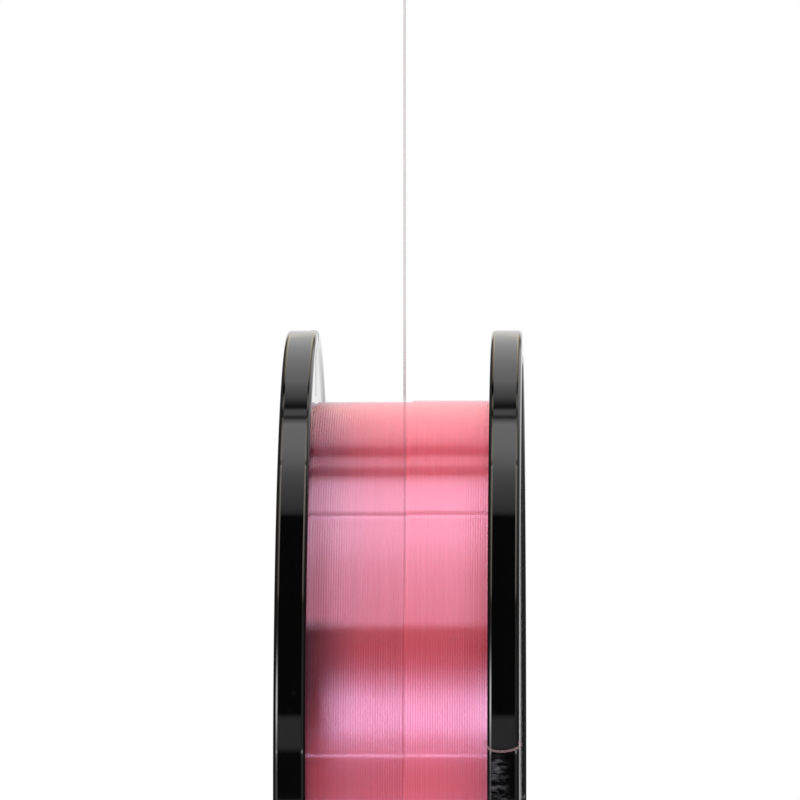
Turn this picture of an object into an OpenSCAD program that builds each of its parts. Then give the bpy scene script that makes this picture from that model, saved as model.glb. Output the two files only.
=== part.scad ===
// Filler spool of fishing line. Two moulded halves snap together on their hub and butt together
// at the middle of the drum. The line fills the groove between the flanges: a last full layer,
// open to view on the left, and a further layer begun over its right part. One stretch is drawn
// off upwards and ends in a loop.
// X is the spool's axis, Z is up, and the origin is the middle of the spindle bore.
// Line is shown at its own diameter, with the turns of the outer layers spaced wider than they lie.

/* [Flanges] */
// Outside diameter of both flanges
flange_d = 100; // [98:0.5:106]
// Width of the spool over its outer faces
spool_w = 26.4; // [26:0.1:30]
// Width of a flange at its rim
rim_w = 3.5; // [3:0.1:3.8]
// Radius of the rounding on both edges of the rim
rim_round = 0.5; // [0.4:0.1:1]
// How far the rim stands proud of the flange's inner face
rim_proud = 0.3; // [0.2:0.1:0.5]
// Depth of the recess in each outer face
recess_depth = 0.4; // [0.3:0.1:0.6]
// Radius of the rounding where the land drops to the recess
land_round = 0.25; // [0.1:0.05:0.3]
// Width of the flat land between the recess and the rounding of the rim
land_w = 2; // [1:0.5:3]
// Width of the groove in the left flange that holds the end of the line, at its mouth
slit_w = 1.2; // [0.8:0.1:1.6]
// Depth of that groove below the inner face
slit_depth = 0.7; // [0.5:0.1:1.2]

/* [Drum] */
// Outside diameter of the drum
drum_d = 77; // [74:0.5:79]
// Wall of the drum
drum_wall = 1.7; // [1.4:0.1:2]
// Thickness of the end wall inside the drum
web_t = 2; // [1.8:0.1:2.4]
// Length of the tongue that locates the half drums, to each side of the joint
tongue_reach = 3; // [2:0.5:5]
// Thickness of the stiffening ribs inside the drum
rib_t = 1.4; // [1:0.1:2]
// Height of the ribs above the end wall
rib_h = 5.8; // [4:0.2:8]

/* [Hub] */
// Diameter of the spindle bore
bore_d = 10; // [9:0.5:10]
// Wall of the spindle tube
tube_wall = 2; // [1.6:0.1:2]
// Wall of the sleeve that takes the spindle tube
sleeve_wall = 1.6; // [1.2:0.1:1.6]
// Length of the sleeve, from the floor of the recess inwards
sleeve_l = 11; // [8:0.5:12]
// Width of a snap hook
hook_w = 6; // [4:0.5:7]
// Thickness of a snap hook
hook_t = 1.6; // [1.2:0.1:1.8]
// How far a hook's barb reaches over its ledge
barb = 0.7; // [0.5:0.1:0.8]

/* [Line] */
// Diameter of the line
line_d = 0.3; // [0.26:0.02:0.34]
// Outside diameter of the last full layer
fill_d = 83.8; // [81:0.1:86]
// Where the layer begun on top stops, from the middle of the spool
top_layer_x = 0.75; // [0:0.05:2]
// Spacing of the turns shown in the outer layers
turn_step = 0.77; // [0.76:0.01:0.78]
// Turns shown in the last full layer
lower_turns = 13; // [8:1:13]
// Turns shown in the layer begun on top of it
top_turns = 11; // [6:1:11]

/* [Drawn-off line] */
// Height of the knot above the axis
knot_z = 86; // [85:1:120]
// Length of the loop above its knot
loop_l = 11; // [8:1:16]
// Width of the loop
loop_w = 5; // [4:0.5:8]

/* [Hidden] */

$fn = 96;
past = 1;                                   // how far a cut runs past the surface it opens
fit_gap = 0.15;                             // clearance between pieces that slide together

flange_r = flange_d / 2;
face_x = spool_w / 2;                       // outer face of the land
rim_in_x = face_x - rim_w;                  // inner side of the rim
web_in_x = rim_in_x + rim_proud;            // inner face of the flange beside the line
floor_x = face_x - recess_depth;            // floor of the recess
cavity_x = floor_x - web_t;                 // inner side of the end wall
land_in_r = flange_r - rim_round - land_w;  // where the land starts to round off to the recess
blend_out_r = flange_r - 2 * rim_round;     // the rim's inner side meets its blend
blend_l = 1.8;                              // radial length of that blend
blend_steps = 6;

drum_r = drum_d / 2;
drum_in_r = drum_r - drum_wall;
tongue_r = drum_in_r - fit_gap;
tongue_t = 0.9;
tongue_lead = 0.4;                          // chamfer that leads the tongue in
rib_angles = [45, 135, 225, 315];

bore_r = bore_d / 2;
tube_r = bore_r + tube_wall;
socket_r = tube_r + fit_gap;
sleeve_r = socket_r + sleeve_wall;

hook_angles = [0, 90, 180, 270];
hook_in_r = sleeve_r + 0.85;
hook_out_r = hook_in_r + hook_t;
ledge_x = floor_x - 1;                      // the barb bears on the web here
window_in_r = hook_in_r - 0.6;              // room for the hook to bend as it goes in
window_out_r = hook_out_r + 0.2;
pocket_out_r = hook_out_r + barb + 0.4;
window_w = hook_w + 0.6;
tool_slot = [hook_out_r + 0.1, hook_out_r + barb + 0.3];
hook_root = 0.7;                            // how far a hook's root goes into the end wall

line_r = line_d / 2;
lower_r = fill_d / 2 - line_r;              // radius of the last full layer at its centre line
top_r = lower_r + line_d;                   // radius of the layer on top of it
loop_rings = 24;                            // rings of a wound tube in one turn
wound_sides = 6;
// A wound tube runs in chords, so the core stays this far below its centre line.
chord_drop = top_r * (1 - cos(180 / loop_rings)) + line_r + 0.1;
core_low_r = lower_r - chord_drop;
core_high_r = top_r - chord_drop;
core_step_x = top_layer_x - line_r - 0.05;
core_side_x = web_in_x - 0.1;
lower_end_x = top_layer_x - 0.4;            // the last full layer goes under the other here
wound_end = line_d;                         // straight stretch at a wound tube's end

cord_sides = 8;
exit_point = [top_layer_x, -top_r, 0];      // the line leaves the front of the spool here
// Heights of the drawn-off line's route, which runs straight up from the exit.
route_z = [0, 2, 4, 7, 10, 14, 18, 22, 26, 30, 34, 38, 42, 46, 50, 54, 58, 62, 66, 70, 74, 78, 81,
           84, knot_z];
knot_wraps = 5;
knot_r = 0.3;
knot_l = knot_wraps * line_d;
loop_z = knot_z + knot_l;
loop_leg = 0.26;                            // half the distance between the loop's legs
loop_steps = 36;

// The starting end comes up between the winding and the right flange, lies over the rim and curls.
// Points are [X, distance from the axis, Z].
start_clear = line_r + 0.02;
start_side_x = web_in_x - start_clear;
start_rim_x = rim_in_x - start_clear;
start_top_r = flange_r + start_clear;
start_z = 3.6;
start_groove_w = 0.6;
corner_r = flange_r - rim_round;            // centre of the rim's inner rounding
bend_r = rim_round + start_clear;
start_route = concat(
    [[start_side_x, drum_r + 0.3, start_z], [start_side_x, 40.5, start_z],
     [start_side_x, 42, start_z], [start_side_x, 43.5, start_z], [start_side_x, 45, 3.7],
     [start_side_x - 0.02, 46.2, 3.7], [start_side_x - 0.08, 47, 3.7],
     [start_rim_x + 0.1, 47.7, 3.7], [start_rim_x, 48.5, 3.6]],
    [for (a = [0:22.5:90])
        [rim_in_x + rim_round - bend_r * cos(a), corner_r + bend_r * sin(a), 3.4 - 0.7 * a / 90]],
    [for (x = [10.8:0.6:12.6])
        [x, start_top_r, 2.55 + 0.12 * pow(x - 11.2, 2)]],
    [[13, start_top_r + 0.02, 2.95], [13.25, start_top_r + 0.05, 3.15],
     [13.28, start_top_r + 0.08, 3.4], [13.15, start_top_r + 0.1, 3.62]]);

// --- Shapes ---------------------------------------------------------------------------------

// Turns a shape that was drawn about Z so that its axis is X.
module about_x() rotate([0, 90, 0]) children();

// Points of an arc about [r, a], from angle a0 to angle a1.
function arc(r, a, radius, a0, a1, n = 8) =
    [for (i = [0:n]) [r + radius * cos(a0 + (a1 - a0) * i / n), a + radius * sin(a0 + (a1 - a0) * i / n)]];

// Smooth step from the web's inner face out to the rim's inner side.
function rim_blend() =
    [for (i = [0:blend_steps])
        let (s = i / blend_steps, rise = (1 - cos(180 * s)) / 2)
        [blend_out_r - blend_l * (1 - s), web_in_x - rim_proud * rise]];

// Outline of a flange as [radius, distance from mid-width], from the drum out and round the rim to
// the floor of the recess, where the hub ends flush.
function flange_outline(hub_r) = concat(
    [[drum_r, web_in_x]],
    rim_blend(),
    arc(flange_r - rim_round, rim_in_x + rim_round, rim_round, -90, 0),
    arc(flange_r - rim_round, face_x - rim_round, rim_round, 0, 90),
    arc(land_in_r, face_x - land_round, land_round, 90, 180, 4),
    [[land_in_r - land_round, floor_x], [hub_r, floor_x]]);

// Four radial ribs on the end wall, between the hub and the drum.
module ribs(from_r) {
    for (a = rib_angles)
        rotate([0, 0, a])
            translate([from_r - 0.3, -rib_t / 2, cavity_x - rib_h])
                cube([drum_in_r - from_r + 0.6, rib_t, rib_h + 0.3]);
}

// A box at each hook: radial range, width and range along the axis.
module at_hooks(r_range, width, x_range) {
    for (a = hook_angles)
        rotate([0, 0, a])
            translate([r_range[0], -width / 2, x_range[0]])
                cube([r_range[1] - r_range[0], width, x_range[1] - x_range[0]]);
}

// --- Swept line -----------------------------------------------------------------------------

function unit(v) = v / norm(v);

// Direction of a path at each of its points.
function directions(p) =
    [for (i = [0:len(p) - 1]) unit(p[min(i + 1, len(p) - 1)] - p[max(i - 1, 0)])];

// A normal at each point, carried along the path without twist.
function carried_normals(t, first) =
    [for (i = 0, n = unit(first - (first * t[0]) * t[0]);
          i < len(t);
          i = i + 1, n = i < len(t) ? unit(n - (n * t[i]) * t[i]) : n) n];

// A tube of the line's diameter along a path, made of triangles.
module swept_line(path, sides, first_normal) {
    t = directions(path);
    n = carried_normals(t, first_normal);
    last = (len(path) - 1) * sides;
    points = [for (i = [0:len(path) - 1])
        for (k = [0:sides - 1])
            path[i] + line_r * (cos(360 * k / sides) * n[i] + sin(360 * k / sides) * cross(t[i], n[i]))];
    walls = [for (i = [0:len(path) - 2])
        for (k = [0:sides - 1])
            let (a = i * sides + k, b = i * sides + (k + 1) % sides)
            each [[a, a + sides, b], [b, a + sides, b + sides]]];
    start_cap = [for (k = [1:sides - 2]) [0, k, k + 1]];
    end_cap = [for (k = [1:sides - 2]) [last, last + k + 1, last + k]];
    polyhedron(points = points, faces = concat(start_cap, walls, end_cap), convexity = 10);
}

// Point of a turn: angle 0 is the front of the spool, and the line moves upwards there.
function turn_point(x, r, angle) = [x, -r * cos(angle), r * sin(angle)];

// The last full layer, from the left flange until it goes under the layer on top of it.
lower_angle = 200;                          // where it starts, behind the spool
lower_path = [for (i = [0:lower_turns * loop_rings])
    turn_point(lower_end_x - turn_step * (lower_turns - i / loop_rings), lower_r,
               lower_angle + 360 * i / loop_rings)];
// The layer on top, from the right flange back to where the line leaves the spool.
top_path = concat(
    [for (i = [top_turns * loop_rings:-1:1])
        turn_point(top_layer_x + turn_step * i / loop_rings, top_r, -360 * i / loop_rings)],
    [exit_point - [0, 0, wound_end], exit_point]);

// A path with a straight stretch added before its first point.
function with_straight_start(p) = concat([p[0] - wound_end * unit(p[1] - p[0])], p);
function with_straight_end(p) =
    concat(p, [p[len(p) - 1] + wound_end * unit(p[len(p) - 1] - p[len(p) - 2])]);

lower_tube = with_straight_end(with_straight_start(lower_path));
top_tube = with_straight_start(top_path);

// Least gap of a wound tube to itself, over points at least half a turn apart.
function least_gap(p) =
    min([for (i = [0:len(p) - 1])
        for (j = [i + loop_rings / 2:1:min(len(p) - 1, i + 2 * loop_rings)])
            norm(p[i] - p[j])]) - line_d;
echo(least_gap_lower_layer_mm = least_gap(lower_tube), least_gap_top_layer_mm = least_gap(top_tube));

// The loop at the end, from one leg up and round to the other.
loop_widest = 0.77;                         // largest value of sin(2u) sin(u)
loop_path = [for (i = [0:loop_steps])
    let (u = 180 * i / loop_steps)
    [exit_point[0] - loop_leg * cos(u) - loop_w / 2 / loop_widest * sin(2 * u) * sin(u),
     exit_point[1],
     loop_z + loop_l * sin(u)]];

// --- Nodes ----------------------------------------------------------------------------------

// Left half: flange, half of the drum, ribs, and the sleeve that takes the spindle tube.
module left_half() {
    color([0.05, 0.05, 0.055])
    difference() {
        mirror([1, 0, 0])
            about_x()
                difference() {
                    union() {
                        rotate_extrude()
                            polygon(concat(
                                flange_outline(socket_r),
                                [[socket_r, floor_x - sleeve_l], [sleeve_r, floor_x - sleeve_l],
                                 [sleeve_r, cavity_x],
                                 [drum_in_r, cavity_x], [drum_in_r, 0], [drum_r, 0]]));
                        ribs(sleeve_r);
                    }
                    at_hooks([window_in_r, window_out_r], window_w, [cavity_x - past, floor_x + past]);
                    at_hooks([window_in_r, pocket_out_r], window_w, [ledge_x, floor_x + past]);
                }
        line_slit();
    }
}

// The groove that holds the end of the line: a V with a narrow bottom, which runs up the inner face
// at the top and out through the rim's inner rounding.
module line_slit() {
    slit_y = -3.5;
    slit_foot = fill_d / 2 + 0.6;
    slit_bottom_w = 0.35;
    translate([0, slit_y, slit_foot])
        linear_extrude(flange_r - slit_foot + past)
            polygon([[-web_in_x - slit_depth, -slit_bottom_w / 2], [-web_in_x, -slit_w / 2],
                     [-rim_in_x + past, -slit_w / 2], [-rim_in_x + past, slit_w / 2],
                     [-web_in_x, slit_w / 2], [-web_in_x - slit_depth, slit_bottom_w / 2]]);
}

// Right half: flange, half of the drum with the locating tongue, ribs, spindle tube and hooks.
module right_half() {
    color([0.05, 0.05, 0.055])
    about_x()
        difference() {
            union() {
                rotate_extrude()
                    polygon(concat(
                        flange_outline(bore_r),
                        [[bore_r, -floor_x], [tube_r, -floor_x], [tube_r, cavity_x],
                         [drum_in_r, cavity_x], [drum_in_r, tongue_reach],
                         [tongue_r - tongue_t, tongue_reach], [tongue_r - tongue_t, -tongue_reach],
                         [tongue_r - tongue_lead, -tongue_reach],
                         [tongue_r, tongue_lead - tongue_reach], [tongue_r, 0], [drum_r, 0]]));
                ribs(tube_r);
                snap_hooks();
            }
            at_hooks(tool_slot, window_w, [cavity_x - past, face_x + past]);
        }
}

// Four hooks that reach through the left half's windows and catch on its ledges.
module snap_hooks() {
    tip_x = -floor_x + 0.1;
    for (a = hook_angles)
        rotate([0, 0, a])
            translate([0, hook_w / 2, 0])
                rotate([90, 0, 0])
                    linear_extrude(hook_w)
                        polygon([[hook_in_r, cavity_x + hook_root], [hook_in_r, tip_x],
                                 [hook_out_r, tip_x], [hook_out_r + barb, -ledge_x - 0.3],
                                 [hook_out_r + barb, -ledge_x], [hook_out_r, -ledge_x],
                                 [hook_out_r, cavity_x + hook_root]]);
}

// All the buried layers, with the groove that the starting end comes up in.
module line_core() {
    color([0.86, 0.42, 0.52])
    difference() {
        about_x()
            rotate_extrude()
                polygon([[drum_r + 0.1, -core_side_x], [core_low_r, -core_side_x],
                         [core_low_r, core_step_x], [core_high_r, core_step_x],
                         [core_high_r, core_side_x], [drum_r + 0.1, core_side_x]]);
        translate([start_side_x - line_r - 0.1, -core_high_r - past, start_z - start_groove_w / 2])
            cube([1, core_high_r - drum_r + 2 * past, start_groove_w]);
    }
}

module line_lower_layer() {
    color([0.93, 0.55, 0.66])
    swept_line(lower_tube, wound_sides, [1, 0, 0]);
}

module line_top_layer() {
    color([0.96, 0.58, 0.68])
    swept_line(top_tube, wound_sides, [1, 0, 0]);
}

module starting_end() {
    color([0.93, 0.72, 0.76])
    swept_line([for (p = start_route) [p[0], -sqrt(p[1] * p[1] - p[2] * p[2]), p[2]]],
               cord_sides, [1, 0, 0]);
}

module free_line() {
    color([0.8, 0.74, 0.74])
    swept_line([for (z = route_z) [exit_point[0], exit_point[1], z]], cord_sides, [1, 0, 0]);
}

// The knot: the line's wraps side by side round its legs.
module knot() {
    color([0.85, 0.6, 0.66])
    translate([exit_point[0], exit_point[1], knot_z])
        rotate_extrude($fn = 32)
            union() {
                square([knot_r, knot_l]);
                for (i = [0:knot_wraps - 1])
                    translate([knot_r, line_d * (i + 0.5)])
                        circle(r = line_r, $fn = 16);
            }
}

module end_loop() {
    color([0.8, 0.74, 0.74])
    swept_line(loop_path, cord_sides, [0, 1, 0]);
}

left_half();
right_half();
line_core();
line_lower_layer();
line_top_layer();
starting_end();
free_line();
knot();
end_loop();
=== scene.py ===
"""Looks of a filler spool of pink monofilament line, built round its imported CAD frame.

Everything is in metres, in the frame's own axes: X is the spool's axis, Z is up, and the origin is
the middle of the spindle bore. Sizes below are written in millimetres and multiplied by MM.
"""
import logging
import math
from dataclasses import dataclass, field
from enum import Enum
from typing import Iterable, Sequence

import bmesh
import bpy
from mathutils import Matrix, Vector


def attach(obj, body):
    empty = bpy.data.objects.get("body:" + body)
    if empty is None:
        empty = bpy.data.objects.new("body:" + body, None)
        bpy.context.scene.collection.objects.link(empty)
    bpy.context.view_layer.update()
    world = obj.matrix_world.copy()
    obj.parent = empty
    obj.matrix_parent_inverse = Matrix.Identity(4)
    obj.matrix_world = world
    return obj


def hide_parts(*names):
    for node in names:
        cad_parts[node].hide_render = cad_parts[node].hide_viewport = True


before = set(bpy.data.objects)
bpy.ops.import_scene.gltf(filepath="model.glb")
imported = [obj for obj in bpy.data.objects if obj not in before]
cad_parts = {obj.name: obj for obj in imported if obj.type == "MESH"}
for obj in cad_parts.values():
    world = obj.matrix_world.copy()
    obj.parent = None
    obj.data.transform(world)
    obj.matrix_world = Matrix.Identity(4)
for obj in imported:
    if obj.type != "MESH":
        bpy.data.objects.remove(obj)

LOG = logging.getLogger("spool")
MM = 0.001
DEGREES = 180.0 / math.pi
BODY = "root"
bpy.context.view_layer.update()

Point = tuple[float, float, float]
Colour = tuple[float, float, float, float]
# Where something starts to show and where it is full. It fades downwards if the second is lower.
Range = tuple[float, float]
Profile = list[tuple[float, float]]


class Slot(Enum):
    """Material slots of the record."""

    BLACK_PLASTIC = "black_plastic"
    WOUND_LINE = "wound_line"
    SINGLE_LINE = "single_line"


class Side(Enum):
    """Sides of the spool along its axis, by their sign on X."""

    LEFT = -1
    RIGHT = 1


# --- Node trees --------------------------------------------------------------------------------


class NodeTree:
    """Short calls that add nodes to a shader or geometry tree and join them."""

    def __init__(self, tree: bpy.types.NodeTree) -> None:
        """Takes a tree and empties it.

        Args:
            tree: The shader or geometry node tree to fill.
        """
        self.tree = tree
        self.tree.nodes.clear()

    def add(self, kind: str, settings: dict | None = None, inputs: dict | None = None) -> bpy.types.Node:
        """Adds a node.

        Args:
            kind: Blender's name of the node type.
            settings: Properties to set on the node.
            inputs: Socket name or index to a value, or to the socket that feeds it.

        Returns:
            The new node.
        """
        node = self.tree.nodes.new(kind)
        for name, value in (settings or {}).items():
            setattr(node, name, value)
        for name, value in (inputs or {}).items():
            self.feed(node.inputs[name], value)
        return node

    def feed(self, socket: bpy.types.NodeSocket, value: object) -> None:
        """Links a socket to another, or sets its value.

        Args:
            socket: The input to feed.
            value: An output socket, or a plain value.
        """
        if isinstance(value, bpy.types.NodeSocket):
            self.tree.links.new(value, socket)
        else:
            socket.default_value = value

    def math(self, operation: str, *values: object) -> bpy.types.NodeSocket:
        """Adds a Math node and returns its result."""
        node = self.add("ShaderNodeMath", {"operation": operation}, dict(enumerate(values)))
        return node.outputs[0]

    def vector_math(self, operation: str, *values: object) -> bpy.types.NodeSocket:
        """Adds a Vector Math node and returns its vector."""
        node = self.add("ShaderNodeVectorMath", {"operation": operation}, dict(enumerate(values)))
        return node.outputs[0]

    def scaled(self, vector: object, factor: object) -> bpy.types.NodeSocket:
        """Multiplies a vector or a colour by a number."""
        node = self.add("ShaderNodeVectorMath", {"operation": "SCALE"}, {0: vector, "Scale": factor})
        return node.outputs[0]

    def split(self, vector: object) -> Sequence[bpy.types.NodeSocket]:
        """Splits a vector into its X, Y and Z."""
        return self.add("ShaderNodeSeparateXYZ", None, {0: vector}).outputs

    def noise(self, vector: object, scale: float, detail: float,
              rough: float = 0.5) -> bpy.types.NodeSocket:
        """Adds a Noise Texture.

        Args:
            vector: Where it is read.
            scale: How fine it is.
            detail: Layers of finer noise on it.
            rough: How strong the finer noise is.

        Returns:
            Its value, about 0.5 on average.
        """
        node = self.add("ShaderNodeTexNoise", None,
                        {"Vector": vector, "Scale": scale, "Detail": detail, "Roughness": rough})
        return node.outputs["Fac"]

    def ramp(self, value: object, low: float, high: float, to_low: float = 0.0,
             to_high: float = 1.0) -> bpy.types.NodeSocket:
        """Adds a clamped Map Range node.

        Args:
            value: The value to map.
            low: The value that gives to_low.
            high: The value that gives to_high.
            to_low: Result at low and beyond it.
            to_high: Result at high and beyond it.

        Returns:
            The result.
        """
        node = self.add("ShaderNodeMapRange", None,
                        {"Value": value, "From Min": low, "From Max": high,
                         "To Min": to_low, "To Max": to_high})
        return node.outputs[0]

    def colour_ramp(self, value: object, stops: Sequence[tuple[float, Point]]) -> bpy.types.NodeSocket:
        """Adds a Color Ramp over a value's own range.

        Args:
            value: The value.
            stops: Values in rising order, each with the linear colour there.

        Returns:
            The colour.
        """
        low, high = stops[0][0], stops[-1][0]
        node = self.add("ShaderNodeValToRGB", None, {0: self.ramp(value, low, high)})
        elements = node.color_ramp.elements
        while len(elements) > 1:
            elements.remove(elements[-1])
        for number, (stop, colour) in enumerate(stops):
            place = (stop - low) / (high - low)
            element = elements[0] if number == 0 else elements.new(place)
            element.position = place
            element.color = (*colour, 1.0)
        return node.outputs["Color"]

    def mix_colour(self, amount: object, first: object, second: object) -> bpy.types.NodeSocket:
        """Adds a colour Mix node.

        Args:
            amount: Share of the second colour, from 0 to 1.
            first: The first colour.
            second: The second colour.

        Returns:
            The mixed colour.
        """
        node = self.add("ShaderNodeMix", {"data_type": "RGBA"})
        self.feed(node.inputs[0], amount)
        self.feed(node.inputs[6], first)
        self.feed(node.inputs[7], second)
        return node.outputs[2]


def rgba(red: float, green: float, blue: float) -> Colour:
    """Returns a linear colour with full opacity."""
    return (red, green, blue, 1.0)


# --- Finishes ----------------------------------------------------------------------------------


def new_material(name: str) -> tuple[bpy.types.Material, NodeTree]:
    """Makes an empty node material.

    Args:
        name: The material's name.

    Returns:
        The material and its tree.
    """
    material = bpy.data.materials.new(name)
    material.use_nodes = True
    return material, NodeTree(material.node_tree)


@dataclass(frozen=True)
class Pattern:
    """A pattern of patches on a surface.

    Attributes:
        scale: How fine the patches are.
        detail: Layers of finer noise on them.
        shows: Noise value where a patch starts to show and where it is full.
        squeeze: How much it is squeezed along X, Y and Z, if it isn't even.
        rough: How strong the finer noise is.
    """

    scale: float
    detail: float
    shows: Range
    squeeze: Point | None = None
    rough: float = 0.5

    def build(self, tree: NodeTree, place: bpy.types.NodeSocket) -> bpy.types.NodeSocket:
        """Adds the pattern to a material.

        Args:
            tree: The material's tree.
            place: Object coordinates.

        Returns:
            How much of it shows, from 0 to 1.
        """
        if self.squeeze:
            place = tree.add("ShaderNodeMapping", None, {"Vector": place, "Scale": self.squeeze}).outputs[0]
        return tree.ramp(tree.noise(place, self.scale, self.detail, self.rough), *self.shows)


@dataclass(frozen=True)
class BlackPlastic:
    """Glossy moulded black plastic with handling marks, and painted reflections low on the front of the
    right rim.

    Attributes:
        reflection_from_x: Range along the axis where the painted reflections on the right rim start.
        reflection_to_x: Range along the axis where they end.
        reflection_top_z: Range of height where they end.
        reflection_front_y: Range of depth that keeps them on the front.
    """

    colour: Colour = rgba(0.0011, 0.0010, 0.0011)
    worn_colour: Colour = rgba(0.006, 0.006, 0.006)
    # Painted reflection: a lighter grey that stands for the blurred reflections low on the front of the
    # right rim.
    reflection_patch_colour: Colour = rgba(0.060, 0.057, 0.064)
    roughness: float = 0.042
    rubbed_roughness: float = 0.10
    index: float = 1.56
    rubbing: Pattern = Pattern(55.0, 4.0, (0.55, 0.75))
    dust: Pattern = Pattern(1500.0, 2.0, (0.70, 0.76))
    dust_strength: float = 0.6
    scratches: Pattern = Pattern(2.0, 3.0, (0.66, 0.72), (60.0, 900.0, 25.0))
    scratch_strength: float = 0.5
    ragged: Pattern = Pattern(1.0, 4.0, (0.46, 0.66), (700.0, 700.0, 1900.0), 0.6)
    reflection_from_x: Range = (0.0098, 0.0104)
    reflection_to_x: Range = (0.0122, 0.0110)
    reflection_top_z: Range = (0.0023, 0.0016)
    reflection_front_y: Range = (-0.0488, -0.0491)
    ripple_scale: float = 260.0
    ripple_detail: float = 2.0
    ripple_strength: float = 0.015
    ripple_height: float = 0.0002

    def painted_rim_reflections(self, tree: NodeTree, place: bpy.types.NodeSocket) -> bpy.types.NodeSocket:
        """Adds painted reflections: ragged lighter grey patches low on the front of the right rim.

        Args:
            tree: The material's tree.
            place: Object coordinates.

        Returns:
            How strong the painted reflection is, from 0 to 1.
        """
        x, y, z = tree.split(place)
        across = tree.math("MULTIPLY", tree.ramp(x, *self.reflection_from_x), tree.ramp(x, *self.reflection_to_x))
        low = tree.math("MULTIPLY", tree.ramp(z, *self.reflection_top_z), tree.ramp(y, *self.reflection_front_y))
        return tree.math("MULTIPLY", self.ragged.build(tree, place), tree.math("MULTIPLY", across, low))

    def wear(self, tree: NodeTree, place: bpy.types.NodeSocket) -> bpy.types.NodeSocket:
        """Adds specks of dust all over and scratches where the plastic is rubbed.

        Args:
            tree: The material's tree.
            place: Object coordinates.

        Returns:
            How worn the surface is, from 0 to 1.
        """
        specks = tree.math("MULTIPLY", self.dust.build(tree, place), self.dust_strength)
        marks = tree.math("MULTIPLY", self.scratches.build(tree, place), self.rubbing.build(tree, place))
        return tree.math("MAXIMUM", specks, tree.math("MULTIPLY", marks, self.scratch_strength))

    def build(self) -> bpy.types.Material:
        """Builds the material.

        Returns:
            The material.
        """
        material, tree = new_material("black_plastic")
        place = tree.add("ShaderNodeTexCoord").outputs["Object"]
        worn = self.wear(tree, place)
        clean = tree.mix_colour(worn, self.colour, self.worn_colour)
        ripple = tree.add("ShaderNodeBump", None, {
            "Strength": self.ripple_strength, "Distance": self.ripple_height,
            "Height": tree.noise(place, self.ripple_scale, self.ripple_detail)}).outputs[0]
        # The base colour carries the painted reflections low on the right rim.
        shader = tree.add("ShaderNodeBsdfPrincipled", None, {
            "Base Color": tree.mix_colour(self.painted_rim_reflections(tree, place), clean, self.reflection_patch_colour),
            "Roughness": tree.ramp(worn, 0.0, 1.0, self.roughness, self.rubbed_roughness),
            "IOR": self.index, "Normal": ripple})
        tree.add("ShaderNodeOutputMaterial", None, {"Surface": shader.outputs[0]})
        return material


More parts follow.
